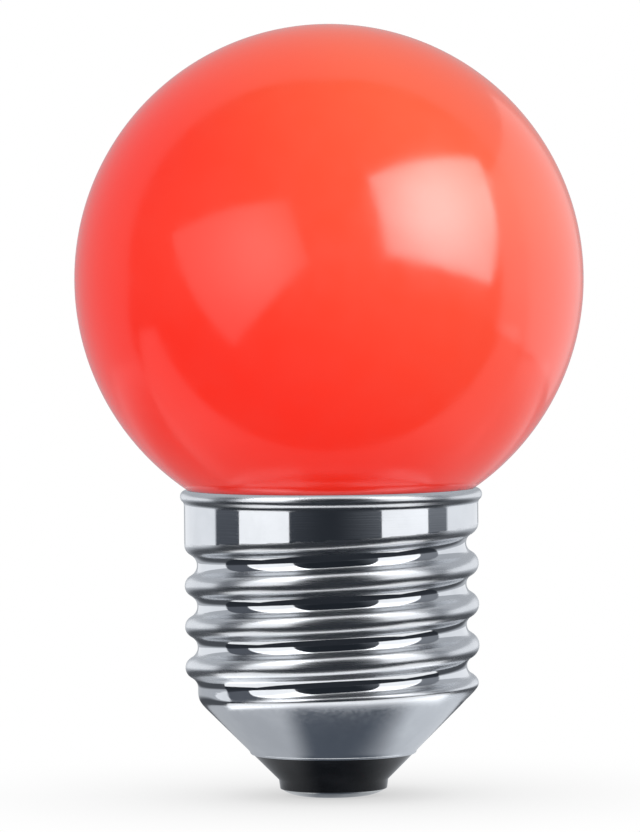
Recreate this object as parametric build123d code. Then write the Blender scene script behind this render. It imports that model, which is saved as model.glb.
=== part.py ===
from build123d import *
import math
import os

# LED globe bulb: a moulded globe whose neck sits in a rolled screw cap, closed below by an insulator and its contact.
# Millimetres. The axis is Z, the contact's flat face lies at height zero and the globe is on top.

# Globe
globe_diameter = 45.0

# Thread rolled into the cap's sheet: equal arcs, crest and root, that run into each other
thread_crest_diameter = 26.05
thread_depth = 1.1
thread_pitch = 3.629
lowest_crest_rise = 1.1  # lowest crest on the +X side, above the cone's upper edge
ridge_start_drop = 0.5  # where the lowest ridge starts, below the cone's upper edge
ridge_growth = 0.2  # part of a turn over which the lowest ridge grows
groove_fade = 0.33  # part of a turn over which the top groove runs out

# Cap
cap_height = 27.17
collar_height = 3.2  # from the end of the top groove to the rim
sheet_thickness = 0.3
flare_radius = 0.5
flare_angle = 48.0
bead_radius = 0.55
cone_angle = 45.0
cone_blend = 0.6  # width of the soft corner between the wall and the cone
cone_foot_diameter = 14.2
foot_rounding = 0.25

# Insulator
insulator_lip_diameter = 9.7
insulator_lip_height = 0.84
insulator_lip_draft = 0.12
insulator_depth = 3.0  # above the cone's foot, inside the cap
insulator_rounding = 0.12

# Centre contact
contact_thickness = 0.6
contact_edge = 0.12
contact_inset = 0.3  # from the insulator's foot
contact_flat_diameter = 5.2
stem_diameter = 3.0
stem_length = 3.0

# Fit between the pieces, and the fineness of the thread
fit_clearance = 0.03
sections_per_turn = 54
levels_per_pitch = 12

# Levels and radii that follow from the sizes above
crest_radius = thread_crest_diameter / 2
root_radius = crest_radius - thread_depth
thread_arc = (thread_pitch**2 / (4 * thread_depth) + thread_depth) / 4
cone_slope = math.tan(math.radians(cone_angle))
sheet_offset = sheet_thickness / math.sin(math.radians(cone_angle))

lip_radius = insulator_lip_diameter / 2
lip_top = contact_thickness + insulator_lip_height
cone_foot_radius = cone_foot_diameter / 2
cone_foot = lip_top + (cone_foot_radius - lip_radius) * cone_slope
cone_top = cone_foot + (root_radius - cone_foot_radius) * cone_slope

lowest_crest = cone_top + lowest_crest_rise
ridge_start = cone_top - ridge_start_drop
ridge_full = ridge_start + ridge_growth * thread_pitch
groove_end = cap_height - collar_height
groove_full = groove_end - groove_fade * thread_pitch

flare_turn = math.radians(flare_angle)
flare_reach = flare_radius * (1 - math.cos(flare_turn))
bead_height = bead_radius * (1 + math.sin(flare_turn))
bead_reach = bead_radius * (1 - math.cos(flare_turn))
flare_top = cap_height - bead_height
flare_foot = flare_top - flare_radius * math.sin(flare_turn)
rim_radius = crest_radius + flare_reach + bead_reach

collar_bore = crest_radius - sheet_thickness
thread_bore = root_radius - sheet_thickness
bore_step = groove_end + thread_pitch / 4
cone_foot_bore = cone_foot_radius - sheet_offset
cone_top_bore = cone_foot + (thread_bore - cone_foot_bore) * cone_slope
insulator_top = cone_foot + insulator_depth


def at(radius, height):
    """Point of the half plane that the round pieces are turned from."""
    return Vector(radius, 0, height)


def path(*points):
    """Straight edges from point to point."""
    return [Edge.make_line(a, b) for a, b in zip(points, points[1:])]


def turned(edges):
    """Solid turned about the axis from a closed outline."""
    return revolve(Face(Wire(edges)), Axis.Z)


def smooth_step(low, high, value):
    share = min(max((value - low) / (high - low), 0), 1)
    return share * share * (3 - 2 * share)


def smooth_least(first, second, blend):
    """Smaller of two radii, with a soft corner where they are equal."""
    overlap = max(blend - abs(first - second), 0) / blend
    return min(first, second) - overlap * overlap * blend / 4


def ridge_share(distance):
    """Height of the rolled wave, from 0 at the root to 1 at the crest, at a distance from the nearest crest."""
    half_pitch = thread_pitch / 2
    if distance < half_pitch / 2:
        fall = thread_arc - math.sqrt(thread_arc**2 - distance**2)
        return 1 - fall / thread_depth
    rise = thread_arc - math.sqrt(thread_arc**2 - (half_pitch - distance) ** 2)
    return rise / thread_depth


def wall_radius(height, turn):
    """Outside of the cap's wall at a height and a part of a turn from +X, counter-clockwise from above."""
    phase = (height - lowest_crest) / thread_pitch - turn
    nearest = round(phase)
    crest_height = lowest_crest + thread_pitch * (nearest + turn)
    root_height = lowest_crest + thread_pitch * (math.floor(phase) + 0.5 + turn)
    ridge = smooth_step(ridge_start, ridge_full, crest_height) * ridge_share(abs(phase - nearest) * thread_pitch)
    groove = 1 - smooth_step(groove_full, groove_end, root_height)
    wave = crest_radius - thread_depth * groove * (1 - ridge)
    cone = cone_foot_radius + (height - cone_foot) / cone_slope
    return smooth_least(wave, cone, cone_blend)


def wall_section(turn):
    """Closed outline of the cap's wall in the half plane at a part of a turn."""
    low = cone_top - cone_blend
    count = round((flare_foot - low) / thread_pitch * levels_per_pitch) + 1
    shares = [i / (count - 1) for i in range(count)]
    heights = [low + share * (flare_foot - low) for share in shares]
    wave = Edge.make_spline([at(wall_radius(h, turn), h) for h in heights], parameters=shares)

    upward = Vector(0, 0, 1)
    flare_end = at(crest_radius + flare_reach, flare_top)
    bead_side = at(rim_radius, cap_height - bead_radius)
    bead_top = at(rim_radius - bead_radius, cap_height)
    lip = [
        Edge.make_tangent_arc(wave @ 1, upward, flare_end),
        Edge.make_tangent_arc(bead_side, -upward, flare_end),
        Edge.make_tangent_arc(bead_side, upward, bead_top),
    ]
    inside = path(
        bead_top,
        at(collar_bore, cap_height),
        at(collar_bore, bore_step),
        at(thread_bore, bore_step),
        at(thread_bore, cone_top_bore),
        at(cone_foot_bore, cone_foot),
    )
    setback = foot_rounding * math.tan(math.radians(cone_angle) / 2)
    along_cone = at(math.cos(math.radians(cone_angle)), math.sin(math.radians(cone_angle)))
    foot_inner = at(cone_foot_radius - setback, cone_foot)
    foot_outer = at(cone_foot_radius, cone_foot) + along_cone * setback
    foot = [
        Edge.make_line(inside[-1] @ 1, foot_inner),
        Edge.make_tangent_arc(foot_inner, Vector(1, 0, 0), foot_outer),
        Edge.make_line(foot_outer, wave @ 0),
    ]
    return Wire([wave, *lip, *inside, *foot]).rotate(Axis.Z, 360 * turn)


def make_screw_shell():
    """Cap lofted once round through its wall sections, which climb one pitch as they go."""
    sections = [wall_section(i / sections_per_turn) for i in range(sections_per_turn)]
    return Solid.make_loft([*sections, sections[0]])


def make_globe():
    """Globe and the stepped neck that fills the cap and stands on the insulator."""
    radius = globe_diameter / 2
    neck = collar_bore - fit_clearance
    plug = thread_bore - fit_clearance
    plug_foot = cone_top_bore - fit_clearance * cone_slope
    foot_radius = cone_foot_bore - fit_clearance + (insulator_top - cone_foot) / cone_slope
    centre = cap_height + math.sqrt(radius**2 - neck**2)
    side = Edge.make_three_point_arc(at(0, centre + radius), at(radius, centre), at(neck, cap_height))
    neck_side = path(
        at(neck, cap_height),
        at(neck, bore_step),
        at(plug, bore_step),
        at(plug, plug_foot),
        at(foot_radius, insulator_top),
        at(0, insulator_top),
        at(0, centre + radius),
    )
    return turned([side, *neck_side])


def make_insulator():
    """Insulator that lines the cone, carries its edge on a shoulder and ends in a short lip."""
    shoulder = cone_foot_bore - fit_clearance
    foot_radius = lip_radius - insulator_lip_draft
    hole = stem_diameter / 2 + fit_clearance
    hole_top = contact_thickness + stem_length
    outline = path(
        at(hole, contact_thickness),
        at(foot_radius, contact_thickness),
        at(lip_radius, lip_top),
        at(cone_foot_radius, cone_foot),
        at(shoulder, cone_foot),
        at(shoulder + insulator_depth / cone_slope, insulator_top),
        at(0, insulator_top),
        at(0, hole_top),
        at(hole, hole_top),
        at(hole, contact_thickness),
    )
    solid = turned(outline)
    foot_edge = solid.edges().filter_by(GeomType.CIRCLE).filter_by(lambda e: abs(e.radius - foot_radius) < 1e-6)
    return fillet(foot_edge, insulator_rounding)


def make_centre_contact():
    """Contact plate with a flat middle, a rounded border and a stem up into the insulator."""
    radius = lip_radius - insulator_lip_draft - contact_inset
    border_top = at(radius, contact_thickness - contact_edge)
    flat_edge = at(contact_flat_diameter / 2, 0)
    border = Edge.make_tangent_arc(flat_edge, Vector(1, 0, 0), border_top)
    stem = stem_diameter / 2
    stem_top = contact_thickness + stem_length
    back = path(
        border_top,
        at(radius, contact_thickness),
        at(stem, contact_thickness),
        at(stem, stem_top),
        at(0, stem_top),
        at(0, 0),
        flat_edge,
    )
    return turned([border, *back])


os.makedirs("parts", exist_ok=True)
export_step(make_globe(), "parts/globe.step")
export_step(make_screw_shell(), "parts/screw_shell.step")
export_step(make_insulator(), "parts/insulator.step")
export_step(make_centre_contact(), "parts/centre_contact.step")
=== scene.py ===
import math

import bmesh
import bpy
from mathutils import Euler, Matrix, Vector


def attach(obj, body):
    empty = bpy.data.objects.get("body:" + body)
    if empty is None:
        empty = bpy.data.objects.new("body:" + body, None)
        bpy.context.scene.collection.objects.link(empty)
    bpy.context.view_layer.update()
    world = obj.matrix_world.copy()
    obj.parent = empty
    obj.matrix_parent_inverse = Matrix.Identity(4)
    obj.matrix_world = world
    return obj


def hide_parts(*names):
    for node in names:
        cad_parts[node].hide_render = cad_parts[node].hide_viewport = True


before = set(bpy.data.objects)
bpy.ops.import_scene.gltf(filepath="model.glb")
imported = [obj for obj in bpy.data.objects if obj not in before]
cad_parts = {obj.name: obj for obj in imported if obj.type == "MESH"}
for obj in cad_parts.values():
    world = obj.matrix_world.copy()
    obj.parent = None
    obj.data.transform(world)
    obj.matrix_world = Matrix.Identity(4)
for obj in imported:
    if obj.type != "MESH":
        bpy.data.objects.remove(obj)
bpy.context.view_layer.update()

# Screw shell: the cap that screws into the lamp holder and takes one side of the supply.
# A cup drawn from thin sheet and nickel plated. Its thread is rolled into the wall, its rim is
# curled out to a bead, and its cone is turned in onto the insulator.
mm = 0.001
thread_pitch = 3.629 * mm
thread_depth = 1.1 * mm
crest_radius = 13.025 * mm
lowest_crest = 9.615 * mm  # on the +X side
ridge_start = 8.015 * mm
ridge_growth = 0.2 * thread_pitch
groove_end = 23.97 * mm
groove_fade = 0.33 * thread_pitch
cap_height = 27.17 * mm
sheet = 0.3 * mm
flare_radius = 0.5 * mm
flare_angle = 48
bead_radius = 0.55 * mm
cone_angle = 45  # so its radius grows as its height does
cone_foot = 3.69 * mm
cone_foot_radius = 7.1 * mm
cone_corner = 0.9 * mm  # width of the soft corner between the cone and the wall
foot_rounding = 0.22 * mm
foot_height = 1.6 * foot_rounding  # from the cone's foot to where the rings of the wall start
level_step = 0.12 * mm  # between the rings of points on the wall
steps_round = 216
sharp_angle = 40  # between two faces, past which their edge looks sharp

cone_sheet = sheet / math.sin(math.radians(cone_angle))
flare_turn = math.radians(flare_angle)
flare_rise = flare_radius * math.sin(flare_turn)
bead_rise = bead_radius * (1 + math.sin(flare_turn))
flare_foot = cap_height - bead_rise - flare_rise
bead_middle = crest_radius + flare_radius - (flare_radius + bead_radius) * math.cos(flare_turn)
collar_bore = crest_radius - sheet
thread_bore = crest_radius - thread_depth - sheet
bore_step = groove_end + thread_pitch / 4
cone_foot_bore = cone_foot_radius - cone_sheet
cone_bore_top = cone_foot + thread_bore - cone_foot_bore
foot_setback = foot_rounding * math.tan(math.radians(cone_angle / 2))


def arc(radius, height, size, start, end, steps=8):
    """Points of an arc round a point of the half plane, from one angle to another in degrees."""
    turns = [math.radians(start + (end - start) * i / steps) for i in range(steps + 1)]
    return [(radius + size * math.cos(t), height + size * math.sin(t)) for t in turns]


def turned(name, outline, closed=False):
    """Mesh turned about the axis from (radius, height) points, listed with the outside on the right."""
    mesh = bpy.data.meshes.new(name)
    form = bmesh.new()
    rings = []
    for radius, height in outline:
        if radius == 0:
            rings.append([form.verts.new((0, 0, height))] * steps_round)
            continue
        turns = [math.tau * i / steps_round for i in range(steps_round)]
        rings.append([form.verts.new((radius * math.cos(t), radius * math.sin(t), height)) for t in turns])
    pairs = list(zip(rings, rings[1:]))
    if closed:
        pairs.append((rings[-1], rings[0]))
    for low, high in pairs:
        for i in range(steps_round):
            j = (i + 1) % steps_round
            corners = dict.fromkeys((low[i], low[j], high[j], high[i]))  # a point on the axis counts once
            form.faces.new(corners)
    form.to_mesh(mesh)
    form.free()
    mesh.shade_smooth()
    mesh.set_sharp_from_angle(angle=math.radians(sharp_angle))
    piece = bpy.data.objects.new(name, mesh)
    bpy.context.scene.collection.objects.link(piece)
    return piece


wall_low = cone_foot + foot_height
wall_levels = round((flare_foot - wall_low) / level_step)
wall = [wall_low + (flare_foot - wall_low) * i / wall_levels for i in range(1, wall_levels + 1)]
foot_middle = (cone_foot_radius + foot_setback / 2, cone_foot + foot_rounding)
shell_foot = arc(*foot_middle, foot_rounding, -90, 0, steps=9)
shell_wall = [(min(crest_radius, cone_foot_radius + level - cone_foot), level) for level in wall]
shell_lip = arc(crest_radius + flare_radius, flare_foot, flare_radius, 180, 180 - flare_angle)[1:]
shell_lip += arc(bead_middle, cap_height - bead_radius, bead_radius, -flare_angle, 90, steps=14)[1:]
shell_bores = [
    (collar_bore, cap_height),
    (collar_bore, bore_step),
    (thread_bore, bore_step),
    (thread_bore, cone_bore_top),
    (cone_foot_bore, cone_foot),
]
screw_shell = turned("screw_shell_nickel", shell_foot + shell_wall + shell_lip + shell_bores, closed=True)

# The rings of the wall are marked, because only they are rolled
first_ring = len(shell_foot)
last_ring = first_ring + len(shell_wall)
rolled = screw_shell.data.attributes.new("rolled", "BOOLEAN", "POINT")
point_rings = [i // steps_round for i in range(len(screw_shell.data.vertices))]
rolled.data.foreach_set("value", [first_ring <= ring < last_ring for ring in point_rings])


def new_material(name):
    """Material with its node tree, its shader and the object's own coordinates."""
    material = bpy.data.materials.new(name)
    material.use_nodes = True
    tree = material.node_tree
    shader = tree.nodes["Principled BSDF"]
    place = tree.nodes.new("ShaderNodeTexCoord").outputs["Object"]
    return material, tree, shader, place


def coordinates(tree, place):
    """Three coordinates of a place."""
    node = tree.nodes.new("ShaderNodeSeparateXYZ")
    tree.links.new(place, node.inputs["Vector"])
    return node.outputs


def noise(tree, place, scale, detail=3, stretch=(1, 1, 1)):
    """Noise over the object, with a scale for each metre and a stretch of the coordinates."""
    mapping = tree.nodes.new("ShaderNodeMapping")
    mapping.inputs["Scale"].default_value = stretch
    texture = tree.nodes.new("ShaderNodeTexNoise")
    texture.inputs["Scale"].default_value = scale
    texture.inputs["Detail"].default_value = detail
    tree.links.new(place, mapping.inputs["Vector"])
    tree.links.new(mapping.outputs["Vector"], texture.inputs["Vector"])
    return texture.outputs["Fac"]


def spread(tree, value, source, target=(0, 1)):
    """Value from one range carried over to another, softly at both ends."""
    node = tree.nodes.new("ShaderNodeMapRange")
    node.interpolation_type = "SMOOTHSTEP"
    tree.links.new(value, node.inputs["Value"])
    for socket, number in zip(("From Min", "From Max", "To Min", "To Max"), (*source, *target)):
        node.inputs[socket].default_value = number
    return node.outputs["Result"]


def maths(tree, operation, *values):
    """Math node on numbers and sockets."""
    node = tree.nodes.new("ShaderNodeMath")
    node.operation = operation
    for socket, value in zip(node.inputs, values):
        if isinstance(value, bpy.types.NodeSocket):
            tree.links.new(value, socket)
        else:
            socket.default_value = value
    return node.outputs["Value"]


def blend_colours(tree, factor, first, second):
    """Colour between two others."""
    node = tree.nodes.new("ShaderNodeMix")
    node.data_type = "RGBA"
    tree.links.new(factor, node.inputs["Factor"])
    for socket, colour in ((node.inputs[6], first), (node.inputs[7], second)):
        if isinstance(colour, bpy.types.NodeSocket):
            tree.links.new(colour, socket)
        else:
            socket.default_value = (*colour, 1)
    return node.outputs[2]


def raise_by(tree, shader, height, distance, strength=1.0):
    """Bump on the shader from a height of about 0 to 1."""
    node = tree.nodes.new("ShaderNodeBump")
    node.inputs["Strength"].default_value = strength
    node.inputs["Distance"].default_value = distance
    tree.links.new(height, node.inputs["Height"])
    tree.links.new(node.outputs["Normal"], shader.inputs["Normal"])


noise_span = (0.3, 0.7)  # where most values of a noise lie
patch_span = (0.35, 0.7)  # the same, for patches with more of the first colour
bright_nickel = (0.76, 0.78, 0.81)
dull_nickel = (0.69, 0.71, 0.74)
rolling_span = (0.3, 0.75)
wall_gloss = (0.03, 0.08)  # roughness along the rolling marks
satin = 0.22  # roughness that the crests and the lip have on top of it
cone_satin = (0.15, 0.22)
cone_satin_end = (8.3 * mm, 9.0 * mm)
lip_satin_start = (flare_foot - 0.2 * mm, flare_foot + 0.2 * mm)
crest_satin_start = (0.03, 0.32)  # shares of the ridge's height
marks_height = 0.0012 * mm
grain_share = 0.07  # of the marks' height

nickel, tree, shader, place = new_material("nickel_plate")
shader.inputs["Metallic"].default_value = 1
level = coordinates(tree, place)["Z"]
rolling_marks = noise(tree, place, scale=140, detail=4, stretch=(1, 1, 60))
grain = noise(tree, place, scale=2600, detail=2)
crest_share = tree.nodes.new("ShaderNodeAttribute")
crest_share.attribute_name = "crest"
on_crest = spread(tree, crest_share.outputs["Fac"], crest_satin_start)
on_lip = spread(tree, level, lip_satin_start)
on_cone = spread(tree, level, cone_satin_end, (1, 0))
worn = maths(tree, "MAXIMUM", on_lip, on_crest)
marked_roughness = spread(tree, rolling_marks, rolling_span, wall_gloss)
wall_roughness = maths(tree, "MULTIPLY_ADD", worn, satin, marked_roughness)
cone_roughness = spread(tree, grain, noise_span, cone_satin)
roughness = tree.nodes.new("ShaderNodeMix")
tree.links.new(on_cone, roughness.inputs["Factor"])
tree.links.new(wall_roughness, roughness.inputs["A"])
tree.links.new(cone_roughness, roughness.inputs["B"])
tree.links.new(roughness.outputs["Result"], shader.inputs["Roughness"])
tarnish = spread(tree, noise(tree, place, scale=220, detail=5), patch_span)
tree.links.new(blend_colours(tree, tarnish, bright_nickel, dull_nickel), shader.inputs["Base Color"])
marks = maths(tree, "MULTIPLY_ADD", grain, grain_share, rolling_marks)
raise_by(tree, shader, marks, marks_height)

rolling = bpy.data.node_groups.new("rolled thread", "GeometryNodeTree")
rolling.interface.new_socket("Geometry", in_out="OUTPUT", socket_type="NodeSocketGeometry")
rolling.interface.new_socket("Geometry", in_out="INPUT", socket_type="NodeSocketGeometry")
thread_sizes = {
    "Pitch": thread_pitch,
    "Depth": thread_depth,
    "Crest radius": crest_radius,
    "Lowest crest": lowest_crest,
    "Ridge start": ridge_start,
    "Ridge full": ridge_start + ridge_growth,
    "Groove full": groove_end - groove_fade,
    "Groove end": groove_end,
    "Cone foot": cone_foot,
    "Cone foot radius": cone_foot_radius,
    "Cone corner": cone_corner,
}
for size in thread_sizes:
    rolling.interface.new_socket(size, in_out="INPUT", socket_type="NodeSocketFloat")
rolling.interface.new_socket("Finish", in_out="INPUT", socket_type="NodeSocketMaterial")
given = rolling.nodes.new("NodeGroupInput").outputs
made = rolling.nodes.new("NodeGroupOutput")

position = rolling.nodes.new("GeometryNodeInputPosition").outputs["Position"]
x, y, height = coordinates(rolling, position)
turn = maths(rolling, "DIVIDE", maths(rolling, "ARCTAN2", y, x), math.tau)

# A crest climbs one pitch in each turn, and the phase counts pitches from the lowest one
rise = maths(rolling, "SUBTRACT", height, given["Lowest crest"])
phase = maths(rolling, "SUBTRACT", maths(rolling, "DIVIDE", rise, given["Pitch"]), turn)
nearest = maths(rolling, "ROUND", phase)
crest_count = maths(rolling, "ADD", nearest, turn)
root_count = maths(rolling, "ADD", maths(rolling, "ADD", maths(rolling, "FLOOR", phase), 0.5), turn)
crest_height = maths(rolling, "MULTIPLY_ADD", crest_count, given["Pitch"], given["Lowest crest"])
root_height = maths(rolling, "MULTIPLY_ADD", root_count, given["Pitch"], given["Lowest crest"])

# Crest and root are equal arcs that meet halfway down the flank
quarter = maths(rolling, "DIVIDE", given["Pitch"], 4)
reach = maths(rolling, "MULTIPLY", quarter, quarter)
arc_size = maths(
    rolling,
    "ADD",
    maths(rolling, "DIVIDE", reach, given["Depth"]),
    maths(rolling, "DIVIDE", given["Depth"], 4),
)


def fall_of_arc(distance):
    """Drop of the thread's arc at a distance from its middle, level past the flank."""
    held = maths(rolling, "MINIMUM", distance, quarter)
    remaining = maths(
        rolling,
        "SUBTRACT",
        maths(rolling, "MULTIPLY", arc_size, arc_size),
        maths(rolling, "MULTIPLY", held, held),
    )
    return maths(rolling, "SUBTRACT", arc_size, maths(rolling, "SQRT", remaining))


off_crest = maths(
    rolling,
    "MULTIPLY",
    maths(rolling, "ABSOLUTE", maths(rolling, "SUBTRACT", phase, nearest)),
    given["Pitch"],
)
off_root = maths(rolling, "SUBTRACT", maths(rolling, "MULTIPLY", quarter, 2), off_crest)
difference = maths(rolling, "SUBTRACT", fall_of_arc(off_root), fall_of_arc(off_crest))
share = maths(rolling, "ADD", maths(rolling, "DIVIDE", difference, given["Depth"]), 0.5)


def grown(value, start, full):
    """Soft step from 0 at one height to 1 at another."""
    node = rolling.nodes.new("ShaderNodeMapRange")
    node.interpolation_type = "SMOOTHSTEP"
    for socket, source in (("Value", value), ("From Min", start), ("From Max", full)):
        rolling.links.new(source, node.inputs[socket])
    return node.outputs["Result"]


# The lowest ridge grows out of the cone, and the top groove runs out into the collar
ridge = maths(rolling, "MULTIPLY", grown(crest_height, given["Ridge start"], given["Ridge full"]), share)
groove = maths(rolling, "SUBTRACT", 1, grown(root_height, given["Groove full"], given["Groove end"]))
sunk = maths(rolling, "MULTIPLY", groove, maths(rolling, "SUBTRACT", 1, ridge))
wave = maths(rolling, "SUBTRACT", given["Crest radius"], maths(rolling, "MULTIPLY", sunk, given["Depth"]))
up_cone = maths(rolling, "SUBTRACT", height, given["Cone foot"])
cone = maths(rolling, "ADD", given["Cone foot radius"], up_cone)
radius = maths(rolling, "SMOOTH_MIN", wave, cone, given["Cone corner"])

# The marked points move to that radius and keep the share of the ridge for the nickel's satin
angle = maths(rolling, "MULTIPLY", turn, math.tau)
spot = rolling.nodes.new("ShaderNodeCombineXYZ")
rolling.links.new(maths(rolling, "MULTIPLY", radius, maths(rolling, "COSINE", angle)), spot.inputs["X"])
rolling.links.new(maths(rolling, "MULTIPLY", radius, maths(rolling, "SINE", angle)), spot.inputs["Y"])
rolling.links.new(height, spot.inputs["Z"])
chosen = rolling.nodes.new("GeometryNodeInputNamedAttribute")
chosen.data_type = "BOOLEAN"
chosen.inputs["Name"].default_value = "rolled"
roll = rolling.nodes.new("GeometryNodeSetPosition")
keep_crest = rolling.nodes.new("GeometryNodeStoreNamedAttribute")
keep_crest.inputs["Name"].default_value = "crest"
realize = rolling.nodes.new("GeometryNodeRealizeInstances")
plate = rolling.nodes.new("GeometryNodeSetMaterial")
rolling.links.new(given["Geometry"], roll.inputs["Geometry"])
rolling.links.new(chosen.outputs["Attribute"], roll.inputs["Selection"])
rolling.links.new(spot.outputs["Vector"], roll.inputs["Position"])
rolling.links.new(roll.outputs["Geometry"], keep_crest.inputs["Geometry"])
rolling.links.new(chosen.outputs["Attribute"], keep_crest.inputs["Selection"])
rolling.links.new(maths(rolling, "MULTIPLY", groove, ridge), keep_crest.inputs["Value"])
rolling.links.new(keep_crest.outputs["Geometry"], realize.inputs["Geometry"])
rolling.links.new(realize.outputs["Geometry"], plate.inputs["Geometry"])
rolling.links.new(given["Finish"], plate.inputs["Material"])
rolling.links.new(plate.outputs["Geometry"], made.inputs["Geometry"])

roller = screw_shell.modifiers.new("rolled thread", "NODES")
roller.node_group = rolling
for item in rolling.interface.items_tree:
    if item.in_out == "INPUT" and item.name in thread_sizes:
        roller[item.identifier] = thread_sizes[item.name]
    if item.in_out == "INPUT" and item.name == "Finish":
        roller[item.identifier] = nickel
ready = screw_shell.evaluated_get(bpy.context.evaluated_depsgraph_get())
threaded = bpy.data.meshes.new_from_object(ready)
screw_shell.modifiers.clear()
screw_shell.data = threaded
threaded.attributes.remove(threaded.attributes["rolled"])
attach(screw_shell, "root")
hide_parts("screw_shell")

# Insulator: keeps the centre contact apart from the shell.
# Black glass, pressed hot into the cone, with a shoulder that carries the cone's edge and a short
# drafted lip below it.
contact_thickness = 0.6 * mm
lip_radius = 4.85 * mm
lip_foot_radius = 4.73 * mm
lip_top = 1.44 * mm
insulator_rounding = 0.12 * mm
insulator_top = 6.69 * mm
fit = 0.03 * mm
stem_radius = 1.5 * mm
stem_top = 3.6 * mm
deep_black = (0.003, 0.0033, 0.004)
soft_black = (0.008, 0.0085, 0.010)
glass_gloss = (0.06, 0.14)  # roughness
ripple_height = 0.02 * mm
ripple_strength = 0.4

lip_lean = math.degrees(math.atan2(lip_top - contact_thickness, lip_radius - lip_foot_radius))
lip_setback = insulator_rounding * math.tan(math.radians(lip_lean / 2))
shoulder = cone_foot_bore - fit
insulator_outline = [
    (0, stem_top),
    (stem_radius + fit, stem_top),
    (stem_radius + fit, contact_thickness),
    *arc(
        lip_foot_radius - lip_setback,
        contact_thickness + insulator_rounding,
        insulator_rounding,
        -90,
        lip_lean - 90,
    ),
    (lip_radius, lip_top),
    (cone_foot_radius, cone_foot),
    (shoulder, cone_foot),
    (shoulder + insulator_top - cone_foot, insulator_top),
    (0, insulator_top),
]
insulator = turned("insulator_black_glass", insulator_outline)

black_glass, tree, shader, place = new_material("black_glass")
flow = spread(tree, noise(tree, place, scale=300, detail=4, stretch=(1, 1, 3)), patch_span)
tree.links.new(blend_colours(tree, flow, deep_black, soft_black), shader.inputs["Base Color"])
glass_roughness = spread(tree, noise(tree, place, scale=900), noise_span, glass_gloss)
tree.links.new(glass_roughness, shader.inputs["Roughness"])
raise_by(tree, shader, noise(tree, place, scale=500, detail=2), ripple_height, ripple_strength)
insulator.data.materials.append(black_glass)
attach(insulator, "root")
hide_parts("insulator")

# Centre contact: the other side of the supply, pressed against the lamp holder's spring.
# A plate stamped from sheet, with a flat middle and a rounded border, held by a stem in the insulator.
contact_radius = 4.43 * mm
contact_flat = 2.6 * mm
contact_edge = 0.12 * mm
clean_metal = (0.84, 0.84, 0.83)
rubbed_metal = (0.72, 0.72, 0.70)
contact_gloss = (0.1, 0.18)  # roughness
scratch_height = 0.003 * mm

border_rise = contact_thickness - contact_edge
border_reach = contact_radius - contact_flat
border_size = (border_reach**2 + border_rise**2) / (2 * border_rise)
border_angle = math.degrees(math.asin(border_reach / border_size))
contact_outline = [
    (0, 0),
    *arc(contact_flat, border_size, border_size, -90, border_angle - 90, steps=10),
    (contact_radius, contact_thickness),
    (stem_radius, contact_thickness),
    (stem_radius, stem_top),
    (0, stem_top),
]
centre_contact = turned("centre_contact_plate", contact_outline)

contact_metal, tree, shader, place = new_material("contact_metal")
shader.inputs["Metallic"].default_value = 1
rubbed = spread(tree, noise(tree, place, scale=800, detail=5), patch_span)
tree.links.new(blend_colours(tree, rubbed, clean_metal, rubbed_metal), shader.inputs["Base Color"])
contact_roughness = spread(tree, noise(tree, place, scale=1800), noise_span, contact_gloss)
tree.links.new(contact_roughness, shader.inputs["Roughness"])
raise_by(tree, shader, noise(tree, place, scale=900, detail=2), scratch_height)
centre_contact.data.materials.append(contact_metal)
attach(centre_contact, "root")
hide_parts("centre_contact")

# Globe: the round cover that the light comes out of, with the neck that it is fixed by.
# Moulded in one piece from glossy red plastic. Its neck is stepped to fill the shell's bores and
# stands on the insulator.
globe_radius = 22.5 * mm
deep_red = (0.96, 0.028, 0.0145)
# The red is painted lighter towards the top and the upper right, as if lit from there: light_red and the
# levels and shares below carry this painted light, as well as the random cloud.
light_red = (0.97, 0.125, 0.055)
cloud_share = 0.15
lean_levels = (45 * mm, 62 * mm)
lean_slopes = (0.7, 1.7)
painted_light_levels = (27 * mm, 68 * mm)
painted_light_shares = (-0.08, 0.69)
painted_top_light_levels = (58 * mm, 76 * mm)
painted_top_light_shares = (0, 0.25)
plastic_gloss = (0.13, 0.18)  # roughness
moulding_height = 0.004 * mm

neck_radius = collar_bore - fit
plug_radius = thread_bore - fit
plug_foot = cone_bore_top - fit
neck_foot_radius = cone_foot_bore - fit + insulator_top - cone_foot
globe_middle = cap_height + math.sqrt(globe_radius**2 - neck_radius**2)
neck_angle = math.degrees(math.asin((cap_height - globe_middle) / globe_radius))
globe_outline = [
    (0, insulator_top),
    (neck_foot_radius, insulator_top),
    (plug_radius, plug_foot),
    (plug_radius, bore_step),
    (neck_radius, bore_step),
    *arc(0, globe_middle, globe_radius, neck_angle, 90, steps=120)[:-1],
    (0, globe_middle + globe_radius),
]
globe = turned("globe_red", globe_outline)

# Painted light: the red grows lighter towards the upper right, as if lit from there, on a slant that leans
# over more near the top. The cloud adds the plastic's own uneven tone.
red_plastic, tree, shader, place = new_material("red_plastic")
x, y, level = coordinates(tree, place)
cloud = noise(tree, place, scale=35, detail=2)
painted_light_slant = maths(tree, "MULTIPLY_ADD", x, spread(tree, level, lean_levels, lean_slopes), level)
cloud_and_painted_light = maths(tree, "MULTIPLY_ADD", cloud, cloud_share, spread(tree, painted_light_slant, painted_light_levels, painted_light_shares))
cloud_and_painted_light = maths(tree, "ADD", cloud_and_painted_light, spread(tree, painted_light_slant, painted_top_light_levels, painted_top_light_shares))
tree.links.new(blend_colours(tree, cloud_and_painted_light, deep_red, light_red), shader.inputs["Base Color"])
plastic_roughness = spread(tree, noise(tree, place, scale=400, detail=4), noise_span, plastic_gloss)
tree.links.new(plastic_roughness, shader.inputs["Roughness"])
raise_by(tree, shader, noise(tree, place, scale=700, detail=2), moulding_height)
globe.data.materials.append(red_plastic)
globe.visible_glossy = False  # so that the shell's nickel stays grey
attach(globe, "root")
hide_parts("globe")

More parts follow.
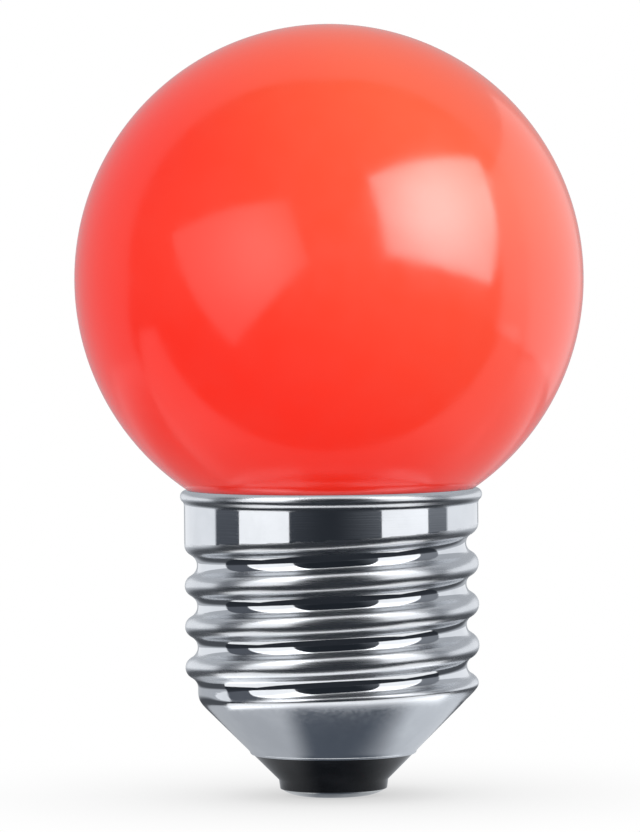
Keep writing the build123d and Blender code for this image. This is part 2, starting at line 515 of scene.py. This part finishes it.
# Studio: a pale floor that fades into a white surround, and even light from all round.
# Metal and gloss see a room instead, dark in front and pale behind, and lights of their own.
floor_half = 2000 * mm
paper_white = (0.95, 0.95, 0.95, 1)
shade_reach = 38 * mm  # how far the object darkens the floor around it
deepest_shade = 0.6
dark_room = (0.018, 0.022, 0.028)
left_wall = (0.11, 0.12, 0.14)
right_wall = (0.23, 0.245, 0.27)
pale_room = (0.48, 0.5, 0.53)
room_slope = 0.2  # how far the pale room's edge draws back, sideways and upwards
room_edge = (-0.02, 0.02)  # in directions, which have a length of 1
wall_span = (0.3, 0.95)  # the same, sideways from the dark room to either wall

form = bmesh.new()
bmesh.ops.create_grid(form, x_segments=1, y_segments=1, size=floor_half)
floor_mesh = bpy.data.meshes.new("floor")
form.to_mesh(floor_mesh)
form.free()
floor = bpy.data.objects.new("floor", floor_mesh)
bpy.context.scene.collection.objects.link(floor)


def behind(tree, x, y, z, edge):
    """How far a place lies on the side behind the object, from 0 to 1."""
    drawn_back = maths(tree, "MULTIPLY_ADD", maths(tree, "ABSOLUTE", x), -room_slope, y)
    return spread(tree, maths(tree, "MULTIPLY_ADD", z, -room_slope, drawn_back), edge)


def with_walls(tree, x, middle, span):
    """Colour that changes sideways, from that of the middle to those of the two walls."""
    start, end = span
    for side, wall in ((-1, left_wall), (1, right_wall)):
        middle = blend_colours(tree, spread(tree, x, (side * start, side * end)), middle, wall)
    return middle


def away_from(tree, place, middle=(0, 0, 0)):
    """Distance of a place from another, given in millimetres."""
    node = tree.nodes.new("ShaderNodeVectorMath")
    node.operation = "DISTANCE"
    node.inputs[1].default_value = Vector(middle) * mm
    tree.links.new(place, node.inputs[0])
    return node.outputs["Value"]


# The floor close to the bulb is what the cone mirrors: a grey middle of painted shadow, where the bulb
# would shade the floor, between two pale sectors of painted light
dark_floor = (0.026, 0.03, 0.037)
floor_wall_span = (0, 700 * mm)
floor_room_edge = (-6 * mm, -5 * mm)
distant_edge = (50 * mm, 110 * mm)
distant_shares = (0.12, 1)  # of the pale room
close_middle = (0, 8, 0)
close_edge = (21 * mm, 24 * mm)
# A painted shadow of the bulb on the floor, and the floor painted as lit beside it on the right
painted_shadow_grey = (0.085, 0.1, 0.125)
painted_lit_pale_right = (0.66, 0.69, 0.73)
left_sector_slope = 1.57
left_sector_edge = (-4 * mm, 4.5 * mm)
right_sector_slope = 0.42
right_sector_edge = (-7 * mm, 1.8 * mm)
right_side_edge = (3 * mm, 12 * mm)

floor_paper, tree, shader, place = new_material("floor_paper")
tree.nodes.remove(shader)
x, y, z = coordinates(tree, place)
close = spread(tree, away_from(tree, place, close_middle), close_edge, (1, 0))
at_left = spread(tree, maths(tree, "MULTIPLY_ADD", x, -left_sector_slope, y), left_sector_edge)
at_right = spread(tree, maths(tree, "MULTIPLY_ADD", x, right_sector_slope, y), right_sector_edge)
painted_lit_sectors = maths(tree, "MULTIPLY", close, maths(tree, "MAXIMUM", at_left, at_right))
distant = spread(tree, away_from(tree, place), distant_edge, distant_shares)
at_back = behind(tree, x, y, z, floor_room_edge)
pale = maths(tree, "MAXIMUM", painted_lit_sectors, maths(tree, "MULTIPLY", distant, at_back))
dark = blend_colours(tree, close, with_walls(tree, x, dark_floor, floor_wall_span), painted_shadow_grey)
close_right = maths(tree, "MULTIPLY", close, spread(tree, x, right_side_edge))
lit = blend_colours(tree, close_right, pale_room, painted_lit_pale_right)
mirrored = tree.nodes.new("ShaderNodeEmission")
tree.links.new(blend_colours(tree, pale, dark, lit), mirrored.inputs["Color"])

# The camera sees white that the bulb shades, gloss sees the mirrored room, and other light sees paper
white = tree.nodes.new("ShaderNodeEmission")
shade = tree.nodes.new("ShaderNodeAmbientOcclusion")
shade.inputs["Distance"].default_value = shade_reach
tree.links.new(spread(tree, shade.outputs["AO"], (0, 1), (deepest_shade, 1)), white.inputs["Strength"])
paper = tree.nodes.new("ShaderNodeBsdfDiffuse")
paper.inputs["Color"].default_value = paper_white
seen = tree.nodes.new("ShaderNodeLightPath").outputs
in_gloss = tree.nodes.new("ShaderNodeMixShader")
tree.links.new(seen["Is Glossy Ray"], in_gloss.inputs["Fac"])
tree.links.new(paper.outputs["BSDF"], in_gloss.inputs[1])
tree.links.new(mirrored.outputs["Emission"], in_gloss.inputs[2])
whole = tree.nodes.new("ShaderNodeMixShader")
tree.links.new(seen["Is Camera Ray"], whole.inputs["Fac"])
tree.links.new(in_gloss.outputs["Shader"], whole.inputs[1])
tree.links.new(white.outputs["Emission"], whole.inputs[2])
tree.links.new(whole.outputs["Shader"], tree.nodes["Material Output"].inputs["Surface"])
floor_mesh.materials.append(floor_paper)

world = bpy.data.worlds.new("white surround")
bpy.context.scene.world = world
world.use_nodes = True
world.cycles.sampling_method = "NONE"  # so that gloss sees only the room
tree = world.node_tree
surround = tree.nodes["Background"]
surround.inputs["Color"].default_value = (1, 1, 1, 1)
room = tree.nodes.new("ShaderNodeBackground")
x, y, z = coordinates(tree, tree.nodes.new("ShaderNodeTexCoord").outputs["Generated"])
at_back = behind(tree, x, y, z, room_edge)
walls = with_walls(tree, x, dark_room, wall_span)
tree.links.new(blend_colours(tree, at_back, walls, pale_room), room.inputs["Color"])
either = tree.nodes.new("ShaderNodeMixShader")
tree.links.new(tree.nodes.new("ShaderNodeLightPath").outputs["Is Glossy Ray"], either.inputs["Fac"])
tree.links.new(surround.outputs["Background"], either.inputs[1])
tree.links.new(room.outputs["Background"], either.inputs[2])
tree.links.new(either.outputs["Shader"], tree.nodes["World Output"].inputs["Surface"])

power_for_area = 4  # watts for a square metre, at a brightness of 1


def area_light(name, brightness, middle, across, upward):
    """Rectangular light from its middle and two half sides, in millimetres."""
    middle, across, upward = (Vector(v) * mm for v in (middle, across, upward))
    data = bpy.data.lights.new(name, "AREA")
    data.shape = "RECTANGLE"
    data.size = 2 * across.length
    data.size_y = 2 * upward.length
    data.energy = brightness * power_for_area * data.size * data.size_y
    data.use_nodes = True
    lamp = bpy.data.objects.new(name, data)
    bpy.context.scene.collection.objects.link(lamp)
    axes = (across.normalized(), upward.normalized(), across.cross(upward).normalized())
    lamp.matrix_world = Matrix.Translation(middle) @ Matrix(axes).transposed().to_4x4()
    lamp.visible_camera = False
    return lamp


def softbox(name, pieces, brightness, middle, across, upward, fade_from=None, distances=(), shares=()):
    """Light that shows only in the gloss of some pieces.

    It can fade with the distance from a place, given in millimetres, from one share of its
    brightness to another.
    """
    lamp = area_light(name, brightness, middle, across, upward)
    lamp.visible_diffuse = False
    lamp.visible_shadow = False
    shown_in = bpy.data.collections.new(name)
    for piece in pieces:
        shown_in.objects.link(piece)
    lamp.light_linking.receiver_collection = shown_in
    if fade_from:
        tree = lamp.data.node_tree
        place = tree.nodes.new("ShaderNodeNewGeometry").outputs["Position"]
        span = [distance * mm for distance in distances]
        share = spread(tree, away_from(tree, place, fade_from), span, shares)
        tree.links.new(share, tree.nodes["Emission"].inputs["Strength"])


fill = area_light("front_fill", brightness=1.0, middle=(0, -900, 0), across=(400, 0, 0), upward=(0, 0, 400))
fill.visible_glossy = False

# Two panels in front that the globe mirrors as windows, and one to the right for that edge of it
softbox(
    "globe_light_right",
    [globe],
    brightness=7,
    middle=(136, -118, 132.8),
    across=(46.3, 88.6, -28.1),
    upward=(-19.7, 30.8, 67.9),
    fade_from=(136, -118, 132.8),
    distances=(0, 125),
    shares=(1.25, 0.6),
)
softbox(
    "globe_light_left",
    [globe],
    brightness=1.6,
    middle=(-48.4, -90.7, 66.9),
    across=(15.5, -42.8, 30.9),
    upward=(-9.9, 15.1, 30.9),
    fade_from=(-48.4, -90.7, 66.9),
    distances=(0, 62),
    shares=(1.1, 0.5),
)
softbox(
    "globe_light_behind",
    [globe],
    brightness=0.9,
    middle=(91, 38.5, 62),
    across=(29, -65.5, 0),
    upward=(0, 0, -54),
    fade_from=(120, -27, 45),
    distances=(20, 140),
    shares=(1.05, 0.4),
)

# Two tall panels that the collar mirrors as white boxes, and fainter lights for the cap's flanks,
# its corner above the cone and its two edges
cap = [screw_shell, insulator, centre_contact]
softbox(
    "cap_light_right",
    cap,
    brightness=1.2,
    middle=(215, -128, 280),
    across=(48, 80, 0),
    upward=(0, 0, 310),
    fade_from=(215, -128, 15),
    distances=(100, 220),
    shares=(0.65, 1.1),
)
softbox(
    "cap_light_left",
    cap,
    brightness=1.3,
    middle=(-201, -148, 280),
    across=(58, -79, 0),
    upward=(0, 0, 310),
    fade_from=(-201, -148, 15),
    distances=(100, 220),
    shares=(0.66, 1.3),
)
softbox(
    "cap_light_below",
    [screw_shell],
    brightness=0.85,
    middle=(0, -9.5, 0.5),
    across=(30, 0, 0),
    upward=(0, -9.5, 0),
    fade_from=(0, 3.8, 0.5),
    distances=(15.2, 16.2),
    shares=(0, 1),
)
softbox(
    "cap_light_back_left",
    [screw_shell],
    brightness=0.35,
    middle=(-115, 96, 31),
    across=(-56, -66, 0),
    upward=(0, 0, 30),
)
softbox(
    "cap_light_back_right",
    [screw_shell],
    brightness=0.35,
    middle=(115, 96, 31),
    across=(-56, 66, 0),
    upward=(0, 0, 30),
)
softbox(
    "cap_light_above",
    cap,
    brightness=0.7,
    middle=(0, -45, 300),
    across=(290, 0, 0),
    upward=(0, 120, 0),
    fade_from=(0, -30, 300),
    distances=(80, 310),
    shares=(1, 0.35),
)

# Pale strips of floor that the underside of the globe mirrors, in front and behind
softbox(
    "globe_light_floor",
    [globe],
    brightness=0.5,
    middle=(0, -5.5, 0.5),
    across=(170, 0, 0),
    upward=(0, -15.5, 0),
    fade_from=(0, 0, 0.5),
    distances=(15, 45),
    shares=(0.45, 1),
)
softbox(
    "globe_light_floor_behind",
    [globe],
    brightness=0.35,
    middle=(0, 45, 0.5),
    across=(110, 0, 0),
    upward=(0, -35, 0),
    fade_from=(110, 45, 0.5),
    distances=(60, 190),
    shares=(1.1, 0.35),
)

# Camera: a long lens half a metre in front, a little above the middle of the globe.
# It looks slightly down and has a slight roll.
eye = Vector((-0.73, -550, 52.25)) * mm
tilt = 88.06
roll_angle = 0.54
focal_pixels = 6220
image_height = 832

camera_data = bpy.data.cameras.new("camera")
camera_data.sensor_width = 36
camera_data.lens = camera_data.sensor_width * focal_pixels / image_height
camera = bpy.data.objects.new("camera", camera_data)
bpy.context.scene.collection.objects.link(camera)
camera.location = eye
camera.rotation_euler = Euler((math.radians(tilt), math.radians(roll_angle), 0))
bpy.context.scene.camera = camera
bpy.context.scene.view_settings.view_transform = "Standard"
